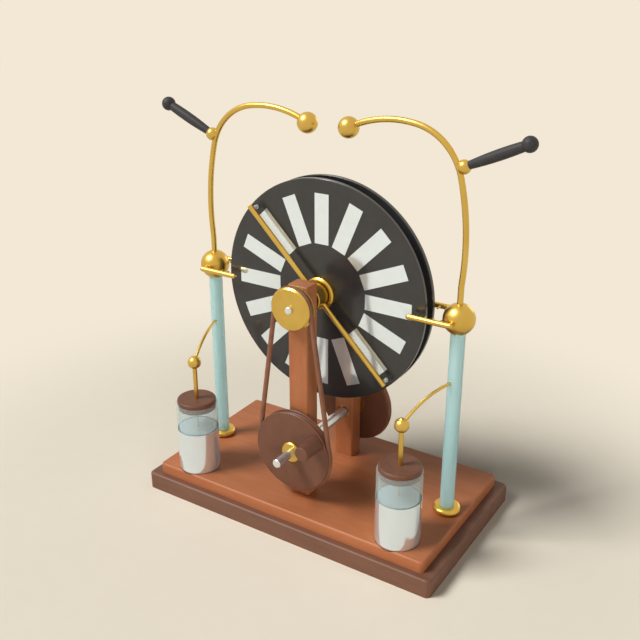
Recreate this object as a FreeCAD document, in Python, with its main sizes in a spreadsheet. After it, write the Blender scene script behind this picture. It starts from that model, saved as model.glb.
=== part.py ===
import FreeCAD, Part
import math
import os
import Sketcher

# Electrostatic influence machine: two discs turned opposite ways by a hand crank and two belts.
# Z is up, X runs along the base, the crank is on the -Y side and the discs turn about Y.

# Driving sizes in millimetres and degrees
SIZES = {
    # Base
    "plinth_length": 454, "plinth_width": 254, "plinth_height": 25,
    "plinth_corner": 7, "plinth_edge": 3.5,
    "board_length": 424, "board_width": 234, "board_height": 15.5,
    "board_corner": 6, "board_edge": 3,
    # Heights of the two axles and the general fits
    "axle_height": 316.6, "shaft_height": 113,
    "seat_clearance": 0.05, "running_clearance": 0.05, "side_play": 0.3,
    # Uprights
    "upright_width": 29.6, "upright_depth": 24.4, "upright_inner": 46.1,
    "upright_above_axle": 26.6, "upright_corner": 2.5, "upright_edge": 2,
    # Discs, foil sectors and hubs
    "disc_radius": 150, "disc_thickness": 6, "disc_spacing": 15, "disc_rim_edge": 0.8,
    "sector_count": 16, "sector_inner": 65.3, "sector_length": 66,
    "sector_width": 20.7, "sector_thickness": 0.4,
    "hub_radius": 21.8, "hub_length": 8.5, "hub_bevel": 1.8,
    "hub_recess_radius": 17.6, "hub_recess_depth": 2.5, "hub_gap": 1.5,
    # Spindles and their bushes
    "spindle_journal_radius": 5.5, "spindle_radius": 5, "spindle_overhang": 3.6,
    "spindle_head_radius": 13, "spindle_head_thickness": 2.5, "end_chamfer": 0.8,
    "spindle_bush_radius": 8, "bush_nose_radius": 6.9,
    "bush_flange_radius": 12, "bush_flange_thickness": 1.5, "shaft_bush_setback": 3,
    # Belts, pulleys and drive wheels
    "belt_diameter": 6.5, "belt_clearance": 0.3, "belt_plane": 81, "belt_crossing_play": 0.7,
    "groove_flare": 0.9, "pulley_radius": 28.7, "pulley_groove_depth": 5.9, "pulley_bevel": 2,
    "pulley_back_width": 8, "pulley_front_width": 7.2,
    "wheel_radius": 57, "wheel_width": 12, "wheel_groove_depth": 4.4, "wheel_edge": 1,
    "boss_radius": 14.5, "boss_height": 3.5, "boss_bevel": 1.4, "sleeve_radius": 9,
    "collar_radius": 16.5, "shaft_bush_radius": 9, "shaft_journal_radius": 7, "shaft_radius": 6,
    "shaft_front_overhang": 36, "shaft_rear_overhang": 8,
    # Crank peg
    "crank_across": 37.5, "crank_up": 25, "pin_radius": 3.5, "pin_depth": 6,
    "pin_head_radius": 5.4, "pin_head_height": 3,
    "grip_length": 34, "grip_root_radius": 11, "grip_end_radius": 10,
    "grip_root_round": 1, "grip_end_round": 2, "plug_radius": 6.5, "plug_depth": 2.7,
    # Neutralisers
    "neutraliser_tilt": 45, "front_neutraliser_reach": 146, "rear_neutraliser_reach": 134,
    "neutraliser_rod_radius": 3.6, "neutraliser_collar_radius": 16,
    "neutraliser_collar_length": 22.5, "rod_setback": 5, "rod_seat_radius": 8,
    "brush_setback": 4.4, "brush_root_radius": 1.9, "brush_tip_radius": 2.8, "brush_gap": 0.4,
    # Pillars, terminals and collectors
    "pillar_across": 188.6, "pillar_radius": 9.5, "pillar_socket": 6,
    "foot_radius": 18.6, "foot_height": 9.5,
    "terminal_radius": 20.2, "terminal_socket": 12, "terminal_bore_floor": 5.5,
    "collector_half_gap": 27, "collector_arm_radius": 3.6, "collector_cross_radius": 2.8,
    "collector_inner": 133.8, "collector_tail": 0.5, "tooth_count": 4, "tooth_first": 7.5,
    "tooth_pitch": 10.6, "tooth_root_radius": 2.1, "tooth_tip_radius": 0.8, "tooth_gap": 1.6,
    # Electrodes: a straight, then bends that follow on from each other; the handle sits
    # a little way into the shoulder
    "electrode_radius": 3.8, "electrode_straight": 31.8,
    "lean_radius": 105, "lean_angle": 5.6, "rise_radius": 360, "rise_angle": 19.9,
    "shoulder_radius": 75.4, "shoulder_angle": 65.4, "handle_angle": 8.4,
    "reach_radius": 143.4, "reach_angle": 37.1,
    "spark_ball_radius": 13.3, "handle_ball_radius": 8.6, "handle_ball_offset": 6.7,
    "handle_tilt": 24.4, "handle_length": 81.4, "handle_end_radius": 9.3,
    "handle_root_radius": 4.9, "handle_tip_radius": 6, "handle_swell": 1.2,
    "handle_stud_radius": 2.5, "handle_stud_length": 5,
    # Leyden jars
    "jar_across": 161.2, "jar_forward": 87.6, "jar_recess": 3, "jar_radius": 29,
    "jar_wall": 2.5, "jar_floor": 3.5, "jar_height": 101.7, "jar_corner": 5, "jar_rim_round": 0.6,
    "foil_thickness": 0.4, "foil_height": 62.3, "lining_wall": 0.6,
    "lid_radius": 27.2, "lid_thickness": 6.3, "lid_round": 2.6, "lid_plug_depth": 8,
    "jar_rod_radius": 3.15, "contact_wire_radius": 0.6,
    "jar_ball_radius": 9.3, "jar_ball_height": 203.4,
    "jar_wire_radius": 2, "jar_wire_level": 4, "jar_wire_height": 232, "jar_wire_seat": 2.5,
    # Earth strip under the jars and wood screws
    "strip_width": 12, "strip_thickness": 1, "strip_tail": 12,
    "stud_radius": 2.5, "stud_head_radius": 5, "stud_head_height": 1.5,
    "screw_well": 4, "screw_head_radius": 4, "screw_head_height": 2.5, "screw_radius": 2,
    "screw_length": 35, "screw_point": 4, "screw_inset_x": 19, "screw_inset_y": 18.5,
    "screw_spread": 7,
}

doc = FreeCAD.newDocument("influence_machine")
sheet = doc.addObject("Spreadsheet::Sheet", "Sizes")
for row, (alias, amount) in enumerate(SIZES.items(), start=1):
    sheet.set(f"A{row}", alias)
    sheet.set(f"B{row}", str(amount))
    sheet.setAlias(f"B{row}", alias)
doc.recompute()


class Size:
    """A number together with the spreadsheet expression that gives it."""

    def __init__(self, value, text):
        self.value = float(value)
        self.text = text

    def __add__(self, other):
        other = as_size(other)
        return Size(self.value + other.value, f"({self.text} + {other.text})")

    __radd__ = __add__

    def __sub__(self, other):
        other = as_size(other)
        return Size(self.value - other.value, f"({self.text} - {other.text})")

    def __rsub__(self, other):
        return as_size(other) - self

    def __mul__(self, other):
        other = as_size(other)
        return Size(self.value * other.value, f"({self.text} * {other.text})")

    __rmul__ = __mul__

    def __truediv__(self, other):
        other = as_size(other)
        return Size(self.value / other.value, f"({self.text} / {other.text})")

    def __neg__(self):
        return Size(-self.value, f"(0 - {self.text})")


def as_size(amount):
    return amount if isinstance(amount, Size) else Size(amount, str(float(amount)))


def root(amount):
    return Size(math.sqrt(amount.value), f"sqrt({amount.text})")


def sine(angle):
    return Size(math.sin(math.radians(angle.value)), f"sin({angle.text})")


def cosine(angle):
    return Size(math.cos(math.radians(angle.value)), f"cos({angle.text})")


def bearing(across, up):
    """The angle of the direction (across, up)."""
    across, up = as_size(across), as_size(up)
    return Size(math.degrees(math.atan2(up.value, across.value)), f"atan2({up.text}; {across.text})")


class Driving:
    """Each alias of the spreadsheet as an attribute."""


d = Driving()
for alias in SIZES:
    setattr(d, alias, Size(sheet.get(alias), f"Sizes.{alias}"))

UP = FreeCAD.Vector(0, 0, 1)
BACK = FreeCAD.Vector(0, 1, 0)
RIGHT = FreeCAD.Vector(1, 0, 0)
ALONG = {
    "X": FreeCAD.Rotation(BACK, 90), "-X": FreeCAD.Rotation(BACK, -90),
    "Y": FreeCAD.Rotation(RIGHT, -90), "-Y": FreeCAD.Rotation(RIGHT, 90),
}
SIDES = {"left": -1, "right": 1}
ENDS = {"front": -1, "rear": 1}
FACING = {-1: FreeCAD.Rotation(UP, 180), 1: FreeCAD.Rotation()}

nodes = []


def node(name, item):
    """Marks an object as one finished piece of the machine."""
    item.Label = name
    nodes.append(item)
    return item


def place(item, at, turn=None, axis=None, angle=None):
    """Puts an object at a point, turned by a fixed rotation or by an angle about an axis."""
    at = [as_size(value) for value in at]
    if axis is not None:
        turn = FreeCAD.Rotation(axis, angle.value)
    base = FreeCAD.Vector(*(value.value for value in at))
    item.Placement = FreeCAD.Placement(base, turn or FreeCAD.Rotation())
    for letter, value in zip("xyz", at):
        item.setExpression(f"Placement.Base.{letter}", value.text)
    if axis is not None:
        item.setExpression("Placement.Rotation.Angle", angle.text)
    return item


# Sketches: every point is held by distances bound to the sheet


def sketch_in(body, name, plane, level=None):
    sketch = body.newObject("Sketcher::SketchObject", name)
    origin_plane = [item for item in body.Origin.OriginFeatures if item.Role == plane][0]
    sketch.AttachmentSupport = [(origin_plane, "")]
    sketch.MapMode = "FlatFace"
    if level is not None:
        sketch.setExpression("AttachmentOffset.Base.z", as_size(level).text)
    return sketch


def hold(sketch, piece, spot, across, up):
    """Fixes one point of a sketch at (across, up) from its origin."""
    for kind, axis, value, tag in (("DistanceX", -2, across, "across"), ("DistanceY", -1, up, "up")):
        value = as_size(value)
        if abs(value.value) < 1e-9:
            sketch.addConstraint(Sketcher.Constraint("PointOnObject", piece, spot, axis))
            continue
        index = sketch.addConstraint(Sketcher.Constraint(kind, -1, 1, piece, spot, value.value))
        sketch.renameConstraint(index, f"{tag}_{piece}_{spot}")
        sketch.setExpression(f"Constraints.{tag}_{piece}_{spot}", value.text)


def hold_radius(sketch, piece, radius):
    index = sketch.addConstraint(Sketcher.Constraint("Radius", piece, radius.value))
    sketch.renameConstraint(index, f"radius_{piece}")
    sketch.setExpression(f"Constraints.radius_{piece}", radius.text)


def add_arc(sketch, start, end, radius):
    """Adds an arc of under half a turn: a positive radius bends left, a negative one right."""
    bend = 1 if radius.value > 0 else -1
    size = radius if bend > 0 else -radius
    chord = end - start
    side = FreeCAD.Vector(-chord.y, chord.x, 0).normalize() * bend
    centre = (start + end) / 2 + side * math.sqrt(max(size.value ** 2 - (chord.Length / 2) ** 2, 0))
    first, last = (start, end) if bend > 0 else (end, start)
    angles = [math.atan2(point.y - centre.y, point.x - centre.x) for point in (first, last)]
    whole = Part.Circle(centre, UP, size.value)
    piece = sketch.addGeometry(Part.ArcOfCircle(whole, angles[0], angles[1]), False)
    hold_radius(sketch, piece, size)
    return (piece, 1, 2) if bend > 0 else (piece, 2, 1)


def path(sketch, points, closed=True):
    """Draws lines through (across, up) points: a third value bends the edge that ends there."""
    points = [[as_size(value) for value in point] for point in points]
    spots = [FreeCAD.Vector(point[0].value, point[1].value, 0) for point in points]
    edges = []
    for index in range(0 if closed else 1, len(points)):
        start, end = spots[index - 1], spots[index]
        if len(points[index]) == 3:
            edges.append(add_arc(sketch, start, end, points[index][2]))
        else:
            edges.append((sketch.addGeometry(Part.LineSegment(start, end), False), 1, 2))
        hold(sketch, edges[-1][0], edges[-1][2], points[index][0], points[index][1])
    for before, after in zip(edges, edges[1:]):
        sketch.addConstraint(Sketcher.Constraint("Coincident", before[0], before[2], after[0], after[1]))
    first, last = edges[0], edges[-1]
    if closed:
        sketch.addConstraint(Sketcher.Constraint("Coincident", last[0], last[2], first[0], first[1]))
    else:
        hold(sketch, first[0], first[1], points[0][0], points[0][1])


def circle(sketch, across, up, radius):
    across, up, radius = as_size(across), as_size(up), as_size(radius)
    centre = FreeCAD.Vector(across.value, up.value, 0)
    piece = sketch.addGeometry(Part.Circle(centre, UP, radius.value), False)
    hold(sketch, piece, 3, across, up)
    hold_radius(sketch, piece, radius)


def rectangle(sketch, across, up, width, height):
    """A rectangle centred on (across, up)."""
    left, right = across - width / 2, across + width / 2
    low, high = up - height / 2, up + height / 2
    path(sketch, [(left, low), (right, low), (right, high), (left, high)])


def rounded_rectangle(sketch, across, up, width, height, corner):
    """A rectangle centred on (across, up) with round corners."""
    left, right = across - width / 2, across + width / 2
    low, high = up - height / 2, up + height / 2
    path(sketch, [
        (left + corner, low, corner), (right - corner, low),
        (right, low + corner, corner), (right, high - corner),
        (right - corner, high, corner), (left + corner, high),
        (left, high - corner, corner), (left, low + corner),
    ])


# Bodies and their features


def new_body(name):
    return doc.addObject("PartDesign::Body", name + "_body")


def turned(name, axis, profile):
    """A piece made on the lathe from (radius, along) points, about its own Z or Y axis."""
    body = new_body(name)
    sketch = sketch_in(body, name + "_profile", {"Z": "XZ_Plane", "Y": "XY_Plane"}[axis])
    path(sketch, profile)
    turning = body.newObject("PartDesign::Revolution", name + "_turning")
    turning.Profile = sketch
    turning.ReferenceAxis = (sketch, ["V_Axis"])
    turning.Angle = 360
    body.Tip = turning
    return body


def pad(body, sketch, height):
    feature = body.newObject("PartDesign::Pad", sketch.Name + "_pad")
    feature.Profile = sketch
    feature.setExpression("Length", as_size(height).text)
    body.Tip = feature
    doc.recompute()
    return feature


def pocket(body, sketch, depth=None, upward=False):
    """Cuts a sketch into the body, or right through both ways where no depth is given."""
    before = body.Shape.Volume
    feature = body.newObject("PartDesign::Pocket", sketch.Name + "_pocket")
    feature.Profile = sketch
    if depth is None:
        feature.Type = "ThroughAll"
        feature.SideType = "Symmetric"
    else:
        feature.setExpression("Length", as_size(depth).text)
        feature.Reversed = upward
    body.Tip = feature
    doc.recompute()
    if body.Shape.Volume > before - 1e-6:
        raise RuntimeError(f"{sketch.Name} cuts nothing")
    return feature


def round_top(body, height, radius):
    """Rounds the edges round the body's upper face."""
    base = body.Tip
    picked = [
        f"Edge{i}" for i, edge in enumerate(base.Shape.Edges, start=1)
        if edge.BoundBox.ZMin > height.value - 1e-4
    ]
    fillet = body.newObject("PartDesign::Fillet", base.Name + "_round")
    fillet.Base = (base, picked)
    fillet.setExpression("Radius", radius.text)
    body.Tip = fillet
    doc.recompute()


def bent_bar(name, points, radius, section_plane, closed=False):
    """A round bar swept along a path in the body's own XZ plane that starts at its origin."""
    body = new_body(name)
    spine = sketch_in(body, name + "_path", "XZ_Plane")
    path(spine, points, closed)
    section = sketch_in(body, name + "_section", section_plane)
    circle(section, 0, 0, radius)
    sweep = body.newObject("PartDesign::AdditivePipe", name + "_sweep")
    sweep.Profile = section
    sweep.Spine = (spine, [f"Edge{i + 1}" for i in range(spine.GeometryCount)])
    body.Tip = sweep
    doc.recompute()
    return body


# Simple solids and booleans


def bar(name, radius, length, at, turn=None, axis=None, angle=None):
    """A round bar that starts at a point."""
    item = doc.addObject("Part::Cylinder", name)
    item.setExpression("Radius", as_size(radius).text)
    item.setExpression("Height", as_size(length).text)
    return place(item, at, turn, axis, angle)


def cone(name, root_radius, tip_radius, length, at, turn):
    item = doc.addObject("Part::Cone", name)
    item.setExpression("Radius1", as_size(root_radius).text)
    item.setExpression("Radius2", as_size(tip_radius).text)
    item.setExpression("Height", as_size(length).text)
    return place(item, at, turn)


def ball(name, radius, at):
    item = doc.addObject("Part::Sphere", name)
    item.setExpression("Radius", as_size(radius).text)
    return place(item, at)


def fused(name, items):
    item = doc.addObject("Part::MultiFuse", name + "_fusion")
    item.Shapes = items
    return item


def grouped(name, items):
    item = doc.addObject("Part::Compound", name + "_set")
    item.Links = items
    return item


def cut(name, base, tool):
    item = doc.addObject("Part::Cut", name + "_cut")
    item.Base = base
    item.Tool = tool
    return item


# Heights and planes that several pieces share
deck = d.plinth_height + d.board_height
disc_inner = d.disc_spacing / 2
disc_outer = disc_inner + d.disc_thickness
sector_face = disc_outer + d.sector_thickness
hub_face = disc_outer + d.hub_length
nose_tip = hub_face - d.hub_recess_depth + d.hub_gap
neutraliser_start = nose_tip + d.side_play
neutraliser_end = neutraliser_start + d.neutraliser_collar_length
neutraliser_plane = neutraliser_start + d.rod_setback
nose_root = neutraliser_end + d.side_play
upright_middle = d.upright_inner + d.upright_depth / 2
upright_outer = d.upright_inner + d.upright_depth
bush_face = upright_outer + d.bush_flange_thickness
groove_round = d.belt_diameter / 2 + d.belt_clearance
pulley_pitch = d.pulley_radius - d.pulley_groove_depth + groove_round
pulley_back = d.belt_plane - d.pulley_back_width
pulley_front = d.belt_plane + d.pulley_front_width
wheel_pitch = d.wheel_radius - d.wheel_groove_depth + groove_round
wheel_back = d.belt_plane - d.wheel_width / 2
wheel_front = d.belt_plane + d.wheel_width / 2
collar_start = bush_face + d.side_play
axle_distance = d.axle_height - d.shaft_height
recess_floor = deck - d.jar_recess
screw_hole = d.screw_radius + d.seat_clearance
screw_reach = d.screw_well + d.screw_length - d.plinth_height + d.side_play

# Base: a dark plinth with the board screwed on from below
plinth = new_body("plinth")
plinth_plan = sketch_in(plinth, "plinth_plan", "XY_Plane")
rounded_rectangle(plinth_plan, 0, 0, d.plinth_length, d.plinth_width, d.plinth_corner)
pad(plinth, plinth_plan, d.plinth_height)
round_top(plinth, d.plinth_height, d.plinth_edge)

# Screw positions: one near each corner of the board and two under each upright
corner_x = d.board_length / 2 - d.screw_inset_x
corner_y = d.board_width / 2 - d.screw_inset_y
board_screws = [(x * corner_x, y * corner_y) for x in (-1, 1) for y in (-1, 1)]
upright_screws = [(x * d.screw_spread, y * upright_middle) for x in (-1, 1) for y in (-1, 1)]

wells = sketch_in(plinth, "screw_wells", "XY_Plane")
shanks = sketch_in(plinth, "screw_shanks", "XY_Plane")
for across, up in board_screws + upright_screws:
    circle(wells, across, up, d.screw_head_radius + d.side_play)
    circle(shanks, across, up, screw_hole)
pocket(plinth, wells, d.screw_well, upward=True)
pocket(plinth, shanks)

# Groove in the plinth's top for the brass strip that joins the two jars
strip_length = 2 * (d.jar_across + d.strip_tail)
groove = sketch_in(plinth, "strip_groove", "XY_Plane", d.plinth_height)
rectangle(
    groove, 0, -d.jar_forward,
    strip_length + 2 * d.seat_clearance, d.strip_width + 2 * d.seat_clearance,
)
pocket(plinth, groove, d.strip_thickness)
node("plinth", plinth)

strip = doc.addObject("Part::Box", "earth_strip_bar")
strip.setExpression("Length", strip_length.text)
strip.setExpression("Width", d.strip_width.text)
strip.setExpression("Height", d.strip_thickness.text)
strip_front = -d.jar_forward - d.strip_width / 2
place(strip, (-strip_length / 2, strip_front, d.plinth_height - d.strip_thickness))
node("earth_strip", strip)

# Board with its recesses, sockets and mortises
board = new_body("board")
board_plan = sketch_in(board, "board_plan", "XY_Plane")
rounded_rectangle(board_plan, 0, 0, d.board_length, d.board_width, d.board_corner)
pad(board, board_plan, d.board_height)
round_top(board, d.board_height, d.board_edge)
mortises = sketch_in(board, "mortises", "XY_Plane")
for end in ENDS.values():
    rounded_rectangle(
        mortises, 0, end * upright_middle,
        d.upright_width + 2 * d.seat_clearance, d.upright_depth + 2 * d.seat_clearance,
        d.upright_corner,
    )
pocket(board, mortises)
recesses = sketch_in(board, "jar_recesses", "XY_Plane", d.board_height)
stud_seats = sketch_in(board, "stud_seats", "XY_Plane", d.board_height - d.jar_recess)
stud_holes = sketch_in(board, "stud_holes", "XY_Plane")
sockets = sketch_in(board, "pillar_sockets", "XY_Plane", d.board_height)
for side in SIDES.values():
    jar_x = side * d.jar_across
    circle(recesses, jar_x, -d.jar_forward, d.jar_radius + d.foil_thickness + d.seat_clearance)
    circle(stud_seats, jar_x, -d.jar_forward, d.stud_head_radius + d.seat_clearance)
    circle(stud_holes, jar_x, -d.jar_forward, d.stud_radius + d.seat_clearance)
    circle(sockets, side * d.pillar_across, 0, d.pillar_radius + d.seat_clearance)
pocket(board, recesses, d.jar_recess)
pocket(board, stud_seats, d.stud_head_height)
pocket(board, stud_holes)
pocket(board, sockets, d.pillar_socket)
pilots = sketch_in(board, "pilot_holes", "XY_Plane")
for across, up in board_screws:
    circle(pilots, across, up, screw_hole)
pocket(board, pilots, screw_reach, upward=True)
place(board, (0, 0, d.plinth_height))
node("board", board)

# Brass studs that join the strip to the jars' outer foil
studs = []
for name, side in SIDES.items():
    stud_top = recess_floor - d.plinth_height
    shoulder = stud_top - d.stud_head_height
    stud = turned(name + "_contact_stud", "Z", [
        (0, 0), (d.stud_radius, 0), (d.stud_radius, shoulder), (d.stud_head_radius, shoulder),
        (d.stud_head_radius, stud_top), (0, stud_top),
    ])
    studs.append(place(stud, (side * d.jar_across, -d.jar_forward, d.plinth_height)))
node("contact_studs", grouped("contact_studs", studs))

screws = []
for index, (across, up) in enumerate(board_screws + upright_screws, start=1):
    tip = d.screw_head_height + d.screw_length
    screw = turned(f"wood_screw_{index}", "Z", [
        (0, 0), (d.screw_head_radius, 0), (d.screw_head_radius, d.screw_head_height),
        (d.screw_radius, d.screw_head_height), (d.screw_radius, tip - d.screw_point), (0, tip),
    ])
    screws.append(place(screw, (across, up, d.screw_well - d.screw_head_height)))
node("wood_screws", grouped("wood_screws", screws))

# Uprights: square posts that pass through the board and carry the bushes
post_height = d.axle_height + d.upright_above_axle - d.plinth_height
spindle_bushes = []
shaft_bushes = []
for name, end in ENDS.items():
    post = new_body(name + "_upright")
    plan = sketch_in(post, name + "_upright_plan", "XY_Plane")
    rounded_rectangle(plan, 0, 0, d.upright_width, d.upright_depth, d.upright_corner)
    pad(post, plan, post_height)
    round_top(post, post_height, d.upright_edge)
    bores = sketch_in(post, name + "_upright_bores", "XZ_Plane")
    circle(bores, 0, d.axle_height - d.plinth_height, d.spindle_bush_radius + d.seat_clearance)
    circle(bores, 0, d.shaft_height - d.plinth_height, d.shaft_bush_radius + d.seat_clearance)
    pocket(post, bores)
    post_pilots = sketch_in(post, name + "_upright_pilots", "XY_Plane")
    for across in (-d.screw_spread, d.screw_spread):
        circle(post_pilots, across, 0, screw_hole)
    pocket(post, post_pilots, screw_reach, upward=True)
    place(post, (0, end * upright_middle, d.plinth_height))
    node(name + "_upright", post)

    # The spindle bush goes on past the post as a nose that carries the neutraliser
    bore = d.spindle_journal_radius + d.running_clearance
    bush = turned(name + "_spindle_bush", "Y", [
        (bore, nose_tip), (d.bush_nose_radius, nose_tip), (d.bush_nose_radius, nose_root),
        (d.spindle_bush_radius, nose_root), (d.spindle_bush_radius, upright_outer),
        (d.bush_flange_radius, upright_outer), (d.bush_flange_radius, bush_face), (bore, bush_face),
    ])
    spindle_bushes.append(place(bush, (0, 0, d.axle_height), FACING[end]))

    # The shaft bush ends inside the post, so that only wood shows between the posts
    bore = d.shaft_journal_radius + d.running_clearance
    bush_start = d.upright_inner + d.shaft_bush_setback
    bush = turned(name + "_shaft_bush", "Y", [
        (bore, bush_start), (d.shaft_bush_radius, bush_start),
        (d.shaft_bush_radius, upright_outer), (d.bush_flange_radius, upright_outer),
        (d.bush_flange_radius, bush_face), (bore, bush_face),
    ])
    shaft_bushes.append(place(bush, (0, 0, d.shaft_height), FACING[end]))
node("spindle_bushes", grouped("spindle_bushes", spindle_bushes))
node("shaft_bushes", grouped("shaft_bushes", shaft_bushes))


# Drive: shaft, two grooved wheels with brass bosses and collars, and the crank peg
def grooved_rim(back, front, radius, pitch, edge):
    """The rim of a wheel from its back to its front, with a flared groove for the round belt."""
    back_wall = d.belt_plane - groove_round
    front_wall = d.belt_plane + groove_round
    return [
        (radius - edge, back), (radius, back + edge), (radius, back_wall - d.groove_flare),
        (pitch, back_wall), (pitch - groove_round, d.belt_plane, -groove_round),
        (pitch, front_wall, -groove_round), (radius, front_wall + d.groove_flare),
        (radius, front - edge), (radius - edge, front),
    ]


shaft_front = wheel_front + d.shaft_front_overhang
shaft_rear = wheel_front + d.shaft_rear_overhang
shaft = turned("drive_shaft", "Y", [
    (0, -shaft_front), (d.shaft_radius - d.end_chamfer, -shaft_front),
    (d.shaft_radius, d.end_chamfer - shaft_front), (d.shaft_radius, -collar_start),
    (d.shaft_journal_radius, -collar_start), (d.shaft_journal_radius, collar_start),
    (d.shaft_radius, collar_start), (d.shaft_radius, shaft_rear - d.end_chamfer),
    (d.shaft_radius - d.end_chamfer, shaft_rear), (0, shaft_rear),
])
node("drive_shaft", place(shaft, (0, 0, d.shaft_height)))

crank_height = d.shaft_height + d.crank_up
bosses = []
collars = []
for name, end in ENDS.items():
    wheel = turned(name + "_drive_wheel", "Y", [
        (d.sleeve_radius + d.seat_clearance, wheel_back),
        *grooved_rim(wheel_back, wheel_front, d.wheel_radius, wheel_pitch, d.wheel_edge),
        (d.sleeve_radius + d.seat_clearance, wheel_front),
    ])
    place(wheel, (0, 0, d.shaft_height), FACING[end])
    if name == "front":
        pin_hole = bar(
            "crank_pin_hole", d.pin_radius + d.seat_clearance, 2 * d.pin_depth,
            (d.crank_across, d.pin_depth - wheel_front, crank_height), ALONG["-Y"],
        )
        wheel = cut("front_drive_wheel", wheel, pin_hole)
    node(name + "_drive_wheel", wheel)

    bore = d.shaft_radius + d.seat_clearance
    boss_face = wheel_front + d.boss_height
    boss = turned(name + "_wheel_boss", "Y", [
        (bore, wheel_back), (d.sleeve_radius, wheel_back), (d.sleeve_radius, wheel_front),
        (d.boss_radius, wheel_front), (d.boss_radius, boss_face - d.boss_bevel),
        (d.boss_radius - d.boss_bevel, boss_face), (bore, boss_face),
    ])
    bosses.append(place(boss, (0, 0, d.shaft_height), FACING[end]))
    collar = turned(name + "_wheel_collar", "Y", [
        (bore, collar_start), (d.collar_radius, collar_start),
        (d.collar_radius, wheel_back), (bore, wheel_back),
    ])
    collars.append(place(collar, (0, 0, d.shaft_height), FACING[end]))
node("wheel_bosses", grouped("wheel_bosses", bosses))
node("wheel_collars", grouped("wheel_collars", collars))

# The peg turns on a steel pin whose head is hidden by a plug
grip_start = wheel_front + d.side_play
grip_end = grip_start + d.grip_length
plug_start = grip_end - d.plug_depth
pin_head_end = plug_start - d.side_play
pin_head_start = pin_head_end - d.pin_head_height
pin_start = wheel_front - d.pin_depth
crank_centre = (d.crank_across, 0, crank_height)
pin = turned("crank_pin", "Y", [
    (0, pin_start), (d.pin_radius, pin_start), (d.pin_radius, pin_head_start),
    (d.pin_head_radius, pin_head_start), (d.pin_head_radius, pin_head_end), (0, pin_head_end),
])
node("crank_pin", place(pin, crank_centre, FACING[-1]))

pin_bore = d.pin_radius + d.running_clearance
head_bore = d.pin_head_radius + d.side_play
plug_bore = d.plug_radius + d.seat_clearance
head_seat = pin_head_start - d.side_play
grip = turned("crank_grip", "Y", [
    (pin_bore, grip_start), (d.grip_root_radius - d.grip_root_round, grip_start),
    (d.grip_root_radius, grip_start + d.grip_root_round, d.grip_root_round),
    (d.grip_end_radius, grip_end - d.grip_end_round),
    (d.grip_end_radius - d.grip_end_round, grip_end, d.grip_end_round),
    (plug_bore, grip_end), (plug_bore, plug_start), (head_bore, plug_start),
    (head_bore, head_seat), (pin_bore, head_seat),
])
node("crank_grip", place(grip, crank_centre, FACING[-1]))
plug = turned("grip_plug", "Y", [
    (0, plug_start), (d.plug_radius, plug_start), (d.plug_radius, grip_end), (0, grip_end),
])
node("grip_plug", place(plug, crank_centre, FACING[-1]))

# Open front belt: its path starts at the top of the pulley and runs clockwise
open_sine = (wheel_pitch - pulley_pitch) / axle_distance
open_cosine = root(1 - open_sine * open_sine)
pulley_touch = pulley_pitch * open_sine - pulley_pitch
wheel_touch = wheel_pitch * open_sine - pulley_pitch - axle_distance
front_belt = bent_bar("front_belt", [
    (pulley_pitch * open_cosine, pulley_touch, -pulley_pitch),
    (wheel_pitch * open_cosine, wheel_touch),
    (0, -pulley_pitch - axle_distance - wheel_pitch, -wheel_pitch),
    (-wheel_pitch * open_cosine, wheel_touch, -wheel_pitch),
    (-pulley_pitch * open_cosine, pulley_touch),
    (0, 0, -pulley_pitch),
], d.belt_diameter / 2, "YZ_Plane", closed=True)
node("front_belt", place(front_belt, (0, -d.belt_plane, d.axle_height + pulley_pitch)))


# Crossed rear belt: each strand bows aside in two S-bends so that the strands pass clear
def tangent_arc(start, heading, end):
    """The arc that leaves a point along a heading and ends at another point."""
    chord = end - start
    run = FreeCAD.Vector(chord).normalize()
    aside = (heading - run * heading.dot(run)).normalize()
    sagitta = chord.Length / 2 * math.tan(heading.getAngle(run) / 2)
    return Part.Arc(start, start + chord / 2 + aside * sagitta, end).toShape()


def crossed_loop(wheel, pulley, distance, bow):
    """Edges of a loop round a wheel at the origin and a pulley above it, crossed between them."""
    tilt = math.asin((wheel + pulley) / distance)
    edges = []
    touches = {}
    for side in (-1, 1):
        normal = FreeCAD.Vector(side * math.cos(tilt), 0, math.sin(tilt))
        low = normal * wheel
        high = UP * distance - normal * pulley
        run = (high - low).normalize()
        crossing = low + run * (wheel / math.tan(tilt)) + BACK * side * bow
        for start, end in ((low, crossing), (crossing, high)):
            middle = (start + end) / 2
            edges.append(tangent_arc(start, run, middle))
            edges.append(tangent_arc(end, -run, middle))
        touches[side] = (low, high)
    edges.append(Part.Arc(touches[-1][0], -UP * wheel, touches[1][0]).toShape())
    edges.append(Part.Arc(touches[-1][1], UP * (distance + pulley), touches[1][1]).toShape())
    return edges


def tube(edge, radius):
    start = edge.valueAt(edge.FirstParameter)
    heading = edge.tangentAt(edge.FirstParameter)
    section = Part.Face(Part.Wire(Part.makeCircle(radius, start, heading)))
    return Part.Wire(edge).makePipe(section)


belt_radius = d.belt_diameter.value / 2
bow = belt_radius + d.belt_crossing_play.value / 2
loop = crossed_loop(wheel_pitch.value, pulley_pitch.value, axle_distance.value, bow)
tubes = [tube(edge, belt_radius) for edge in loop]
rear_belt = doc.addObject("Part::Feature", "rear_belt_loop")
rear_belt.Shape = tubes[0].multiFuse(tubes[1:]).removeSplitter()
node("rear_belt", place(rear_belt, (0, d.belt_plane, d.shaft_height)))

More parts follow.
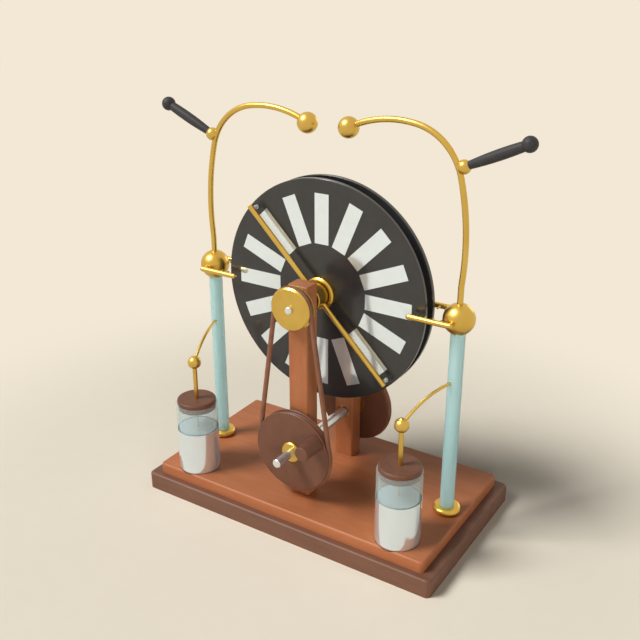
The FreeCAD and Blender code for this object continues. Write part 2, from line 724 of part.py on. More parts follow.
# Discs: each turns on its own spindle with its foil sectors, hub and pulley
for name, end in ENDS.items():
    axle = (0, 0, d.axle_height)
    bore = d.spindle_journal_radius + d.seat_clearance
    rim = d.disc_radius - d.disc_rim_edge
    disc = turned(name + "_disc", "Y", [
        (bore, disc_inner), (rim, disc_inner), (d.disc_radius, disc_inner + d.disc_rim_edge),
        (d.disc_radius, disc_outer - d.disc_rim_edge), (rim, disc_outer), (bore, disc_outer),
    ])
    node(name + "_disc", place(disc, axle, FACING[end]))

    sectors = new_body(name + "_sectors")
    sectors.AllowCompound = True
    foil = sketch_in(sectors, name + "_sector", "XZ_Plane", -sector_face)
    rectangle(foil, 0, d.sector_inner + d.sector_length / 2, d.sector_width, d.sector_length)
    one = pad(sectors, foil, d.sector_thickness)
    ring = sectors.newObject("PartDesign::PolarPattern", name + "_sector_ring")
    ring.Originals = [one]
    ring.Axis = (foil, ["N_Axis"])
    ring.Angle = 360
    ring.setExpression("Occurrences", d.sector_count.text)
    sectors.Tip = ring
    node(name + "_sectors", place(sectors, axle, FACING[end]))

    hub = turned(name + "_hub", "Y", [
        (bore, disc_outer), (d.hub_radius, disc_outer), (d.hub_radius, hub_face - d.hub_bevel),
        (d.hub_radius - d.hub_bevel, hub_face), (d.hub_recess_radius, hub_face),
        (d.hub_recess_radius, hub_face - d.hub_recess_depth), (bore, hub_face - d.hub_recess_depth),
    ])
    node(name + "_hub", place(hub, axle, FACING[end]))

    head_start = disc_inner - d.spindle_head_thickness
    spindle_tip = pulley_front + d.spindle_overhang
    spindle = turned(name + "_spindle", "Y", [
        (0, head_start), (d.spindle_head_radius, head_start), (d.spindle_head_radius, disc_inner),
        (d.spindle_journal_radius, disc_inner), (d.spindle_journal_radius, pulley_back),
        (d.spindle_radius, pulley_back), (d.spindle_radius, spindle_tip - d.end_chamfer),
        (d.spindle_radius - d.end_chamfer, spindle_tip), (0, spindle_tip),
    ])
    node(name + "_spindle", place(spindle, axle, FACING[end]))

    pulley_bore = d.spindle_radius + d.seat_clearance
    pulley = turned(name + "_pulley", "Y", [
        (pulley_bore, pulley_back),
        *grooved_rim(pulley_back, pulley_front, d.pulley_radius, pulley_pitch, d.pulley_bevel),
        (pulley_bore, pulley_front),
    ])
    node(name + "_pulley", place(pulley, axle, FACING[end]))

# Neutralisers: a collar on the bush's nose with two rods that end in wire brushes
for name, end in ENDS.items():
    bore = d.bush_nose_radius + d.running_clearance
    edge = d.neutraliser_collar_radius - d.end_chamfer
    collar = turned(name + "_neutraliser_collar", "Y", [
        (bore, neutraliser_start), (edge, neutraliser_start),
        (d.neutraliser_collar_radius, neutraliser_start + d.end_chamfer),
        (d.neutraliser_collar_radius, neutraliser_end - d.end_chamfer),
        (edge, neutraliser_end), (bore, neutraliser_end),
    ])
    place(collar, (0, 0, d.axle_height), FACING[end])
    reach = getattr(d, name + "_neutraliser_reach")
    rods = []
    holes = []
    wires = []
    for index, half_turn in enumerate((0, 180), start=1):
        lean = end * d.neutraliser_tilt + half_turn

        def on_rod(radius):
            """A point on the rod's middle line."""
            return (radius * sine(lean), end * neutraliser_plane, d.axle_height + radius * cosine(lean))

        tag = f"{name}_{index}"
        rods.append(bar(
            f"rod_{tag}", d.neutraliser_rod_radius, reach - d.rod_seat_radius,
            on_rod(d.rod_seat_radius), axis=BACK, angle=lean,
        ))
        holes.append(bar(
            f"rod_hole_{tag}", d.neutraliser_rod_radius + d.seat_clearance,
            d.neutraliser_collar_radius, on_rod(d.rod_seat_radius), axis=BACK, angle=lean,
        ))
        wires.append(cone(
            f"brush_{tag}", d.brush_root_radius, d.brush_tip_radius,
            neutraliser_plane - sector_face - d.brush_gap,
            on_rod(reach - d.brush_setback), ALONG["Y" if end < 0 else "-Y"],
        ))
    drilled = cut(name + "_neutraliser_collar", collar, fused(name + "_rod_holes", holes))
    node(name + "_neutraliser_collar", drilled)
    pair = node(name + "_neutraliser_rods", grouped(name + "_neutraliser_rods", rods))
    brushes = cut(name + "_neutraliser_brushes", grouped(name + "_brush_cones", wires), pair)
    node(name + "_neutraliser_brushes", brushes)


# Electrode path: it leaves its origin upwards and bends through (radius, angle, hand) arcs
def bends(straight, steps):
    across, up, heading = as_size(0), straight, as_size(90)
    points = [(0, 0), (0, straight)]
    headings = [heading, heading]
    for radius, angle, hand in steps:
        after = heading + hand * angle
        across = across + hand * radius * (sine(after) - sine(heading))
        up = up + hand * radius * (cosine(heading) - cosine(after))
        heading = after
        points.append((across, up, hand * radius))
        headings.append(heading)
    return points, headings


electrode_path, electrode_headings = bends(d.electrode_straight, [
    (d.lean_radius, d.lean_angle, -1), (d.rise_radius, d.rise_angle, 1),
    (d.shoulder_radius, d.handle_angle, 1),
    (d.shoulder_radius, d.shoulder_angle - d.handle_angle, 1), (d.reach_radius, d.reach_angle, 1),
])
electrode_foot = d.axle_height + d.terminal_bore_floor + d.running_clearance

# Each side: pillar, terminal ball, collector fork, discharge electrode and Leyden jar
feet = []
foils = []
linings = []
lids = []
for name, side in SIDES.items():
    post_x = side * d.pillar_across
    outward = "X" if side > 0 else "-X"

    # Leyden jar: foil cup, glass, closed lining, wooden lid and the rod with its ball
    jar_x = side * d.jar_across
    glass_floor = recess_floor + d.foil_thickness
    rim = deck + d.jar_height - glass_floor
    foil_top = deck + d.foil_height - glass_floor
    wide, corner, rim_round = d.jar_radius, d.jar_corner, d.jar_rim_round
    inside = wide - d.jar_wall
    jar_foot = (jar_x, -d.jar_forward, glass_floor)
    glass = turned(name + "_jar_glass", "Z", [
        (0, 0), (wide - corner, 0), (wide, corner, corner), (wide, rim - rim_round),
        (wide - rim_round, rim, rim_round), (inside + rim_round, rim),
        (inside, rim - rim_round, rim_round), (inside, d.jar_floor + corner),
        (inside - corner, d.jar_floor, -corner), (0, d.jar_floor),
    ])
    node(name + "_jar_glass", place(glass, jar_foot))
    foil_wide = wide + d.foil_thickness
    foil = turned(name + "_jar_foil", "Z", [
        (0, -d.foil_thickness), (wide - corner, -d.foil_thickness),
        (foil_wide, corner, corner + d.foil_thickness), (foil_wide, foil_top), (wide, foil_top),
        (wide, corner), (wide - corner, 0, -corner), (0, 0),
    ])
    foils.append(place(foil, jar_foot))
    rod_hole = d.jar_rod_radius + d.seat_clearance
    out = inside - d.seat_clearance
    wall = d.lining_wall
    low = d.jar_floor
    wire_hole = d.contact_wire_radius + d.seat_clearance
    lining = turned(name + "_jar_lining", "Z", [
        (0, low), (out - corner, low), (out, low + corner, corner), (out, foil_top),
        (wire_hole, foil_top), (wire_hole, foil_top - wall), (out - wall, foil_top - wall),
        (out - wall, low + corner), (out - corner, low + wall, wall - corner), (0, low + wall),
    ])
    linings.append(place(lining, jar_foot))
    lid_top = rim + d.lid_thickness
    lid = turned(name + "_jar_lid", "Z", [
        (rod_hole, rim - d.lid_plug_depth), (out, rim - d.lid_plug_depth), (out, rim),
        (d.lid_radius, rim), (d.lid_radius, lid_top - d.lid_round),
        (d.lid_radius - d.lid_round, lid_top, d.lid_round), (rod_hole, lid_top),
    ])
    lids.append(place(lid, jar_foot))
    # The rod ends in the lid and goes on as a fine wire that touches the lining's floor
    wire_foot = glass_floor + d.jar_floor + d.lining_wall
    rod_foot = glass_floor + rim - d.lid_plug_depth
    stem = bar(
        name + "_jar_stem", d.jar_rod_radius, d.jar_ball_height - rod_foot,
        (jar_x, -d.jar_forward, rod_foot),
    )
    contact = bar(
        name + "_contact_wire", d.contact_wire_radius, d.jar_ball_height - wire_foot,
        (jar_x, -d.jar_forward, wire_foot),
    )
    jar_ball = ball(name + "_jar_ball", d.jar_ball_radius, (jar_x, -d.jar_forward, d.jar_ball_height))
    node(name + "_jar_rod", fused(name + "_jar_rod", [stem, contact, jar_ball]))

    # Wire from the pillar to the jar's ball, level at the pillar and bent down to the ball
    aside = side * (d.jar_across - d.pillar_across)
    span = root(aside * aside + d.jar_forward * d.jar_forward)
    inset = d.pillar_radius - d.jar_wire_seat
    drop = d.jar_wire_height - d.jar_ball_height
    bent_run = span - inset - d.jar_wire_level
    wire_bend = (bent_run * bent_run + drop * drop) / (2 * drop)
    wire = bent_bar(name + "_jar_wire", [
        (0, 0), (d.jar_wire_level, 0), (span - inset, -drop, -wire_bend),
    ], d.jar_wire_radius, "YZ_Plane")
    place(
        wire, (post_x + inset * aside / span, -inset * d.jar_forward / span, d.jar_wire_height),
        axis=UP, angle=bearing(aside, -d.jar_forward),
    )
    node(name + "_jar_wire", cut(name + "_jar_wire", wire, jar_ball))

    # Glass pillar between its brass foot and the terminal ball
    pillar_foot = deck - d.pillar_socket
    pillar_top = d.axle_height - d.terminal_socket
    column = bar(
        name + "_pillar_rod", d.pillar_radius, pillar_top - pillar_foot, (post_x, 0, pillar_foot),
    )
    node(name + "_pillar", cut(name + "_pillar", column, wire))
    half = d.foot_height / 2
    foot_bore = d.pillar_radius + d.seat_clearance
    foot = turned(name + "_pillar_base", "Z", [
        (foot_bore, 0), (d.foot_radius - half, 0), (d.foot_radius, half, half),
        (d.foot_radius - half, d.foot_height, half), (foot_bore, d.foot_height),
    ])
    feet.append(place(foot, (post_x, 0, deck)))

    # Terminal ball, bored for the pillar, the collector's cross rod and the electrode
    reach = d.terminal_radius + 1
    sphere = ball(name + "_terminal_sphere", d.terminal_radius, (post_x, 0, d.axle_height))
    bores = fused(name + "_terminal_bores", [
        bar(
            name + "_pillar_bore", foot_bore, reach - d.terminal_socket,
            (post_x, 0, d.axle_height - reach),
        ),
        bar(
            name + "_cross_bore", d.collector_cross_radius + d.seat_clearance, 2 * reach,
            (post_x, -reach, d.axle_height), ALONG["Y"],
        ),
        bar(
            name + "_electrode_bore", d.electrode_radius + d.running_clearance, reach,
            (post_x, 0, d.axle_height + d.terminal_bore_floor),
        ),
    ])
    node(name + "_terminal_ball", cut(name + "_terminal_ball", sphere, bores))

    # Collector fork: a cross rod with two arms that point their teeth at the discs
    tail = d.pillar_across + d.collector_tail
    pieces = [bar(
        name + "_cross_rod", d.collector_cross_radius, 2 * d.collector_half_gap,
        (post_x, -d.collector_half_gap, d.axle_height), ALONG["Y"],
    )]
    for end_name, end in ENDS.items():
        tag = f"{name}_{end_name}"
        plane = end * d.collector_half_gap
        pieces.append(bar(
            f"arm_{tag}", d.collector_arm_radius, tail - d.collector_inner,
            (side * d.collector_inner, plane, d.axle_height), ALONG[outward],
        ))
        for tip_name, across in (("inner", d.collector_inner), ("outer", tail)):
            pieces.append(ball(
                f"arm_tip_{tag}_{tip_name}", d.collector_arm_radius,
                (side * across, plane, d.axle_height),
            ))
        for index in range(round(d.tooth_count.value)):
            across = d.collector_inner + d.tooth_first + index * d.tooth_pitch
            pieces.append(cone(
                f"tooth_{tag}_{index + 1}", d.tooth_root_radius, d.tooth_tip_radius,
                d.collector_half_gap - sector_face - d.tooth_gap,
                (side * across, plane, d.axle_height), ALONG["Y" if end < 0 else "-Y"],
            ))
    node(name + "_collector", fused(name + "_collector", pieces))

    # Electrode: bent brass rod with a spark ball at its tip
    rod = bent_bar(name + "_electrode_rod", electrode_path, d.electrode_radius, "XY_Plane")
    place(rod, (post_x, 0, electrode_foot), FACING[side])
    node(name + "_electrode_rod", rod)
    tip_x, tip_z = electrode_path[-1][0], electrode_path[-1][1]
    spark = ball(
        name + "_spark_sphere", d.spark_ball_radius,
        (side * (d.pillar_across + tip_x), 0, electrode_foot + tip_z),
    )
    node(name + "_spark_ball", cut(name + "_spark_ball", spark, rod))

    # Insulating handle on a small ball set against the outside of the bend
    root_x, root_z = electrode_path[4][0], electrode_path[4][1]
    away = electrode_headings[4] - 90
    ball_x = side * (d.pillar_across + root_x + d.handle_ball_offset * cosine(away))
    ball_z = electrode_foot + root_z + d.handle_ball_offset * sine(away)
    thick, tip = d.handle_root_radius, d.handle_tip_radius
    seat = root(d.handle_ball_radius * d.handle_ball_radius - thick * thick)
    neck = d.handle_length - root(d.handle_end_radius * d.handle_end_radius - tip * tip)
    half_shank = (neck - seat) / 2
    shank_bend = (half_shank * half_shank / d.handle_swell + d.handle_swell) / 2
    handle = turned(name + "_handle", "Z", [
        (0, seat - d.handle_stud_length), (d.handle_stud_radius, seat - d.handle_stud_length),
        (d.handle_stud_radius, seat), (thick, seat), (tip, neck, shank_bend),
        (d.handle_end_radius, d.handle_length, d.handle_end_radius),
        (0, d.handle_length + d.handle_end_radius, d.handle_end_radius),
    ])
    place(handle, (ball_x, 0, ball_z), axis=BACK, angle=side * (90 - d.handle_tilt))
    node(name + "_handle", handle)
    knob = ball(name + "_handle_sphere", d.handle_ball_radius, (ball_x, 0, ball_z))
    seats = fused(name + "_handle_ball_seats", [rod, handle])
    node(name + "_handle_ball", cut(name + "_handle_ball", knob, seats))
node("pillar_bases", grouped("pillar_bases", feet))
node("jar_foils", grouped("jar_foils", foils))
node("jar_linings", grouped("jar_linings", linings))
node("jar_lids", grouped("jar_lids", lids))

# Check every object, then write one file for each piece
doc.recompute()
for item in doc.Objects:
    if "Invalid" in item.State or "Error" in item.State:
        raise RuntimeError(f"{item.Name} failed: {item.State}")
for item in nodes:
    if item.Shape.isNull() or not item.Shape.isValid() or not item.Shape.Solids:
        raise RuntimeError(f"{item.Label} has no valid solid")
os.makedirs("parts", exist_ok=True)
for item in nodes:
    item.Shape.exportStep(f"parts/{item.Label}.step")
print(len(nodes), "pieces written")
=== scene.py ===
import math
import random

import bpy
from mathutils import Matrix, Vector


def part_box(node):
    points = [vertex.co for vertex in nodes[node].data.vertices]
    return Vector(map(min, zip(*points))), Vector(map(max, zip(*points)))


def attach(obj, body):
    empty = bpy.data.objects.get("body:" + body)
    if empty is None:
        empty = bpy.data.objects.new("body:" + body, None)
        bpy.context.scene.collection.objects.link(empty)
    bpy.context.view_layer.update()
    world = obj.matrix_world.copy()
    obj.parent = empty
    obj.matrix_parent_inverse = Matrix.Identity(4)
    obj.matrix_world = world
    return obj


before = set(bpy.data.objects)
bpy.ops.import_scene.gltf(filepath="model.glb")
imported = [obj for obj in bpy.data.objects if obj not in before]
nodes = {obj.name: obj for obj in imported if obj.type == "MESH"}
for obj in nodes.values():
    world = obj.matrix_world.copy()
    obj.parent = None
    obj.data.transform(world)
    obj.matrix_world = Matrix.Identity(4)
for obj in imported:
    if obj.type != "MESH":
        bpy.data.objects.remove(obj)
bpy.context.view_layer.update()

# Studio: the camera stands in front and to the right, higher than the machine. A far soft box
# at the front left throws the shadow to the right and back, and two small ones light the near
# right and the rear. The background is a warm pale tone.
CAMERA_PLACE = (0.5686, -0.9047, 0.7223)
CAMERA_TARGET = (0.0361, -0.0738, 0.3067)
CAMERA_LENS = 48.79
CAMERA_SENSOR = 36
ROOM_STRENGTH = 0.11


def face_towards(thing, target):
    """Turns a camera or a lamp to a point."""
    gaze = Vector(target) - thing.location
    thing.rotation_euler = gaze.to_track_quat("-Z", "Y").to_euler()


def soft_box(name, place, target, size, power, mirrored=True):
    """A square lamp that the camera never sees, and that shiny pieces may be kept from mirroring."""
    lamp = bpy.data.lights.new(name, "AREA")
    lamp.shape = "SQUARE"
    lamp.size = size
    lamp.energy = power
    box = bpy.data.objects.new(name, lamp)
    box.location = place
    face_towards(box, target)
    box.visible_camera = False
    box.visible_glossy = mirrored
    bpy.context.collection.objects.link(box)


def srgb(red, green, blue):
    """A colour of 0 to 255 steps as the shader's linear colour."""
    steps = [value / 255 for value in (red, green, blue)]
    return [s / 12.92 if s <= 0.04045 else ((s + 0.055) / 1.055) ** 2.4 for s in steps] + [1]


def feed(tree, slot, value):
    """Links a slot to another node's output, or sets it to a plain value."""
    if isinstance(value, bpy.types.NodeSocket):
        tree.links.new(value, slot)
    else:
        slot.default_value = value


def maths(tree, operation, *values):
    """The result of one operation on outputs and plain numbers."""
    node = tree.nodes.new("ShaderNodeMath")
    node.operation = operation
    for slot, value in zip(node.inputs, values):
        feed(tree, slot, value)
    return node.outputs[0]


def mixed(tree, share, first, second):
    """A blend of two shaders that holds the given share of the second."""
    node = tree.nodes.new("ShaderNodeMixShader")
    for slot, value in zip(node.inputs, (share, first, second)):
        feed(tree, slot, value)
    return node.outputs[0]


camera_data = bpy.data.cameras.new("camera")
camera_data.lens = CAMERA_LENS
camera_data.sensor_width = CAMERA_SENSOR
camera = bpy.data.objects.new("camera", camera_data)
camera.location = CAMERA_PLACE
face_towards(camera, CAMERA_TARGET)
bpy.context.collection.objects.link(camera)
bpy.context.scene.camera = camera
bpy.context.scene.view_settings.view_transform = "Standard"

soft_box("key_box", place=(-6.0, -5.8, 10.0), target=(0, 0, 0.15), size=4.6, power=1560)
soft_box("front_box", place=(2.4, -2.5, 0.6), target=(0, 0, 0.25), size=1.2, power=42, mirrored=False)
soft_box("back_box", place=(0.5, 3.3, 0.8), target=(0, 0, 0.25), size=1.2, power=8)

backdrop_colour = srgb(242, 232, 213)
world = bpy.data.worlds.new("studio")
bpy.context.scene.world = world
world.use_nodes = True
tree = world.node_tree
room = tree.nodes["Background"]
room.inputs["Color"].default_value = srgb(236, 238, 240)
room.inputs["Strength"].default_value = ROOM_STRENGTH
backdrop = tree.nodes.new("ShaderNodeBackground")
backdrop.inputs["Color"].default_value = backdrop_colour
rays = tree.nodes.new("ShaderNodeLightPath")
direct = maths(tree, "MAXIMUM", rays.outputs["Is Camera Ray"], rays.outputs["Is Transmission Ray"])
seen = maths(tree, "MAXIMUM", direct, rays.outputs["Is Glossy Ray"])
surroundings = mixed(tree, seen, room.outputs[0], backdrop.outputs[0])
tree.links.new(surroundings, tree.nodes["World Output"].inputs["Surface"])

# Floor: a sheet of pale paper that takes the shadow. From about a third of a metre out it fades
# into the background's own colour, so that no horizon shows.
FLOOR_REACH = 30.0
FADE_MIDDLE = (-0.04, -0.06, 0)
FADE_START = 0.36
FADE_END = 0.82


def new_material(name, roughness=None, metallic=0.0):
    """A material, with its shader and the coordinates of the machine in metres."""
    material = bpy.data.materials.new(name)
    material.use_nodes = True
    tree = material.node_tree
    shader = tree.nodes["Principled BSDF"]
    shader.inputs["Metallic"].default_value = metallic
    if roughness is not None:
        shader.inputs["Roughness"].default_value = roughness
    place = tree.nodes.new("ShaderNodeTexCoord")
    return material, tree, shader, place.outputs["Object"]


def noise(tree, source, scale, detail, roughness):
    texture = tree.nodes.new("ShaderNodeTexNoise")
    texture.inputs["Scale"].default_value = scale
    texture.inputs["Detail"].default_value = detail
    texture.inputs["Roughness"].default_value = roughness
    tree.links.new(source, texture.inputs["Vector"])
    return texture.outputs["Fac"]


def ramp(tree, source, stops):
    """Colours that follow a texture, from (position, colour) stops."""
    colours = tree.nodes.new("ShaderNodeValToRGB")
    band = colours.color_ramp
    while len(band.elements) < len(stops):
        band.elements.new(0.5)
    for element, (position, colour) in zip(band.elements, stops):
        element.position = position
        element.color = colour
    tree.links.new(source, colours.inputs["Fac"])
    return colours.outputs["Color"]


def tint(tree, shader, texture, dark, light, start=0.3, end=0.7):
    """Lets a texture take the shader's colour from dark to light."""
    colour = ramp(tree, texture, [(start, dark), (end, light)])
    tree.links.new(colour, shader.inputs["Base Color"])
    return colour


floor_mesh = bpy.data.meshes.new("floor")
corners = [
    (-FLOOR_REACH, -FLOOR_REACH, 0), (FLOOR_REACH, -FLOOR_REACH, 0),
    (FLOOR_REACH, FLOOR_REACH, 0), (-FLOOR_REACH, FLOOR_REACH, 0),
]
floor_mesh.from_pydata(corners, [], [(0, 1, 2, 3)])
floor = bpy.data.objects.new("floor", floor_mesh)
bpy.context.collection.objects.link(floor)
floor_paper, tree, shader, place = new_material("floor_paper", roughness=0.9)
shader.inputs["Specular IOR Level"].default_value = 0.1
fibre = noise(tree, place, scale=35, detail=2, roughness=0.5)
tint(tree, shader, fibre, srgb(238, 228, 209), srgb(241, 231, 212), start=0.0, end=1.0)
distance = tree.nodes.new("ShaderNodeVectorMath")
distance.operation = "DISTANCE"
distance.inputs[1].default_value = FADE_MIDDLE
tree.links.new(place, distance.inputs[0])
fade = tree.nodes.new("ShaderNodeMapRange")
fade.interpolation_type = "SMOOTHSTEP"
fade.inputs["From Min"].default_value = FADE_START
fade.inputs["From Max"].default_value = FADE_END
tree.links.new(distance.outputs["Value"], fade.inputs["Value"])
glow = tree.nodes.new("ShaderNodeEmission")
glow.inputs["Color"].default_value = backdrop_colour
rays = tree.nodes.new("ShaderNodeLightPath")
seen = maths(tree, "MAXIMUM", rays.outputs["Is Camera Ray"], rays.outputs["Is Glossy Ray"])
faded = maths(tree, "MULTIPLY", seen, fade.outputs["Result"])
surface = mixed(tree, faded, shader.outputs[0], glow.outputs[0])
tree.links.new(surface, tree.nodes["Material Output"].inputs["Surface"])
floor_mesh.materials.append(floor_paper)

# Base: a dark stained hardwood plinth under a board of orange-brown wood, both planed, rounded
# with a moulding cutter and varnished. The two posts are sawn from the same orange-brown wood
# and pass through the board.
WOOD_SMOOTHEST = 0.43
WOOD_ROUGHEST = 0.6
FIBRES_TO_GRAIN = 9


def finish(material, *names):
    """Gives CAD nodes their finish."""
    for name in names:
        piece = nodes[name]
        piece.data.materials.clear()
        piece.data.materials.append(material)
        for face in piece.data.polygons:
            face.material_index = 0


def stretched(tree, source, scale):
    """Coordinates that a texture follows more slowly along the axis with the smallest scale."""
    mapping = tree.nodes.new("ShaderNodeMapping")
    mapping.inputs["Scale"].default_value = scale
    tree.links.new(source, mapping.inputs["Vector"])
    return mapping.outputs["Vector"]


def spread(tree, source, low, high):
    """Maps a 0 to 1 texture to a narrower range."""
    change = tree.nodes.new("ShaderNodeMapRange")
    change.inputs["To Min"].default_value = low
    change.inputs["To Max"].default_value = high
    tree.links.new(source, change.inputs["Value"])
    return change.outputs["Result"]


def roughen(tree, shader, texture, smoothest, roughest):
    """Lets a texture vary how dull the surface is."""
    tree.links.new(spread(tree, texture, smoothest, roughest), shader.inputs["Roughness"])


def bump(tree, shader, height, strength, distance):
    relief = tree.nodes.new("ShaderNodeBump")
    relief.inputs["Strength"].default_value = strength
    relief.inputs["Distance"].default_value = distance
    tree.links.new(height, relief.inputs["Height"])
    tree.links.new(relief.outputs["Normal"], shader.inputs["Normal"])


def varnished_wood(name, grain, dark, middle, light):
    """Wood whose fibres run along the axis where the grain's scale is smallest."""
    material, tree, shader, place = new_material(name)
    fine_grain = [value * FIBRES_TO_GRAIN for value in grain]
    warp = noise(tree, stretched(tree, place, grain), scale=9, detail=5, roughness=0.6)
    fibres = noise(tree, stretched(tree, place, fine_grain), scale=24, detail=6, roughness=0.65)
    figure = maths(tree, "MULTIPLY_ADD", fibres, 0.35, spread(tree, warp, 0.0, 0.65))
    colour = ramp(tree, figure, [(0.28, dark), (0.5, middle), (0.74, light)])
    tree.links.new(colour, shader.inputs["Base Color"])
    roughen(tree, shader, fibres, WOOD_SMOOTHEST, WOOD_ROUGHEST)
    shader.inputs["Specular IOR Level"].default_value = 0.35
    shader.inputs["Coat Weight"].default_value = 0.1
    shader.inputs["Coat Roughness"].default_value = 0.3
    bump(tree, shader, fibres, strength=0.2, distance=0.0002)
    return material


plinth_wood = varnished_wood(
    "plinth_wood", grain=(1.2, 7, 7),
    dark=srgb(102, 66, 50), middle=srgb(116, 78, 60), light=srgb(128, 88, 69),
)
board_wood = varnished_wood(
    "board_wood", grain=(1.2, 7, 7),
    dark=srgb(162, 94, 56), middle=srgb(176, 106, 66), light=srgb(188, 118, 76),
)
post_wood = varnished_wood(
    "post_wood", grain=(7, 7, 1.2),
    dark=srgb(158, 94, 56), middle=srgb(171, 105, 65), light=srgb(183, 117, 75),
)
finish(plinth_wood, "plinth")
finish(board_wood, "board")
finish(post_wood, "front_upright", "rear_upright")

# Brass: bushes, hubs, pulleys, bosses, collars, feet, rods and balls are turned or drawn and
# polished, so they carry very fine marks under a warm, slightly uneven sheen. The strip and
# studs under the jars are of the same brass.
brass, tree, shader, place = new_material("polished_brass", metallic=1.0)
sheen = noise(tree, place, scale=38, detail=3, roughness=0.5)
tint(tree, shader, sheen, srgb(211, 175, 86), srgb(220, 186, 99))
smear = noise(tree, place, scale=260, detail=4, roughness=0.6)
roughen(tree, shader, smear, smoothest=0.26, roughest=0.38)
marks = noise(tree, stretched(tree, place, (1, 14, 1)), scale=320, detail=2, roughness=0.5)
bump(tree, shader, marks, strength=0.03, distance=0.0001)
finish(
    brass, "spindle_bushes", "shaft_bushes", "wheel_bosses", "wheel_collars", "pillar_bases",
    "earth_strip", "contact_studs",
)
for end in ("front", "rear"):
    finish(
        brass, f"{end}_hub", f"{end}_pulley", f"{end}_neutraliser_collar", f"{end}_neutraliser_rods",
    )
for side in ("left", "right"):
    finish(
        brass, f"{side}_terminal_ball", f"{side}_collector", f"{side}_electrode_rod",
        f"{side}_spark_ball", f"{side}_handle_ball", f"{side}_jar_rod", f"{side}_jar_wire",
    )

# Steel: the drive shaft, spindles and crank pin are turned from bright bar and run in the
# bushes and the grip. Steel wood screws hold board and posts from below.
steel, tree, shader, place = new_material("bright_steel", metallic=0.8)
scratches = noise(tree, stretched(tree, place, (1, 16, 1)), scale=240, detail=3, roughness=0.6)
tint(tree, shader, scratches, srgb(212, 214, 218), srgb(234, 236, 240), start=0.25, end=0.75)
roughen(tree, shader, scratches, smoothest=0.16, roughest=0.3)
bump(tree, shader, scratches, strength=0.08, distance=0.0001)
finish(steel, "drive_shaft", "front_spindle", "rear_spindle", "crank_pin", "wood_screws")

# Discs: two plates of black insulating composition, turned true and polished, with sixteen
# thin bright metal foils glued on each outer face.
plate, tree, shader, place = new_material("black_plate")
cloud = noise(tree, place, scale=26, detail=4, roughness=0.6)
tint(tree, shader, cloud, srgb(39, 39, 40), srgb(47, 47, 48))
rub = noise(tree, place, scale=420, detail=3, roughness=0.6)
roughen(tree, shader, rub, smoothest=0.2, roughest=0.3)
shader.inputs["Coat Weight"].default_value = 0.2
shader.inputs["Coat Roughness"].default_value = 0.06
foil, tree, shader, place = new_material("sector_foil", metallic=0.7)
crease = noise(tree, place, scale=90, detail=4, roughness=0.55)
tint(tree, shader, crease, srgb(230, 241, 247), srgb(235, 245, 251))
roughen(tree, shader, crease, smoothest=0.08, roughest=0.16)
for end in ("front", "rear"):
    finish(plate, f"{end}_disc")
    finish(foil, f"{end}_sectors")

# Brushes: tufts of fine tinsel wire that brush the sectors, with loose strands round each
# tuft that splay a little towards the disc. The strands turn with their neutraliser.
STRANDS = 36
STRAND_SIDES = 3
STRAND_STEPS = 4
STRAND_HALF_WIDTH = 0.00013
STRAND_SWAY = 0.25
STRAND_SWAY_RATE = 2.5
STRAND_FLARE = 1.5
TUFT_ROOT_RADIUS = 0.0019
TUFT_TIP_RADIUS = 0.0031
UNEVEN_SPACING = 0.4
MOST_CUT_OFF = 0.18
LEAST_SPLAY = 0.75
STRAND_SEED = 11
tinsel, tree, shader, place = new_material("brush_tinsel", roughness=0.35, metallic=0.5)
wires = noise(tree, stretched(tree, place, (1, 0.1, 1)), scale=2600, detail=3, roughness=0.6)
tint(tree, shader, wires, srgb(222, 225, 228), srgb(246, 247, 248))
bump(tree, shader, wires, strength=0.6, distance=0.0004)
finish(tinsel, "front_neutraliser_brushes", "rear_neutraliser_brushes")


def tinsel_strand(corners, faces, centre, root_y, tip_y, angle, splay):
    """Adds one three-sided wire that leans outwards from the tuft's root to its tip."""
    first = len(corners)
    for step in range(STRAND_STEPS + 1):
        along = step / STRAND_STEPS
        lean = (TUFT_TIP_RADIUS - TUFT_ROOT_RADIUS) * splay * along ** STRAND_FLARE
        radius = TUFT_ROOT_RADIUS + lean
        turned = angle + STRAND_SWAY * math.sin(STRAND_SWAY_RATE * along)
        x = centre[0] + radius * math.cos(turned)
        z = centre[1] + radius * math.sin(turned)
        for side in range(STRAND_SIDES):
            round_it = turned + math.tau * side / STRAND_SIDES
            corners.append((
                x + STRAND_HALF_WIDTH * math.cos(round_it),
                root_y + (tip_y - root_y) * along,
                z + STRAND_HALF_WIDTH * math.sin(round_it),
            ))
    for step in range(STRAND_STEPS):
        low = first + step * STRAND_SIDES
        high = low + STRAND_SIDES
        for side in range(STRAND_SIDES):
            after = (side + 1) % STRAND_SIDES
            faces.append((low + side, low + after, high + after, high + side))
    last = first + STRAND_STEPS * STRAND_SIDES
    faces.append([first + side for side in reversed(range(STRAND_SIDES))])
    faces.append([last + side for side in range(STRAND_SIDES)])


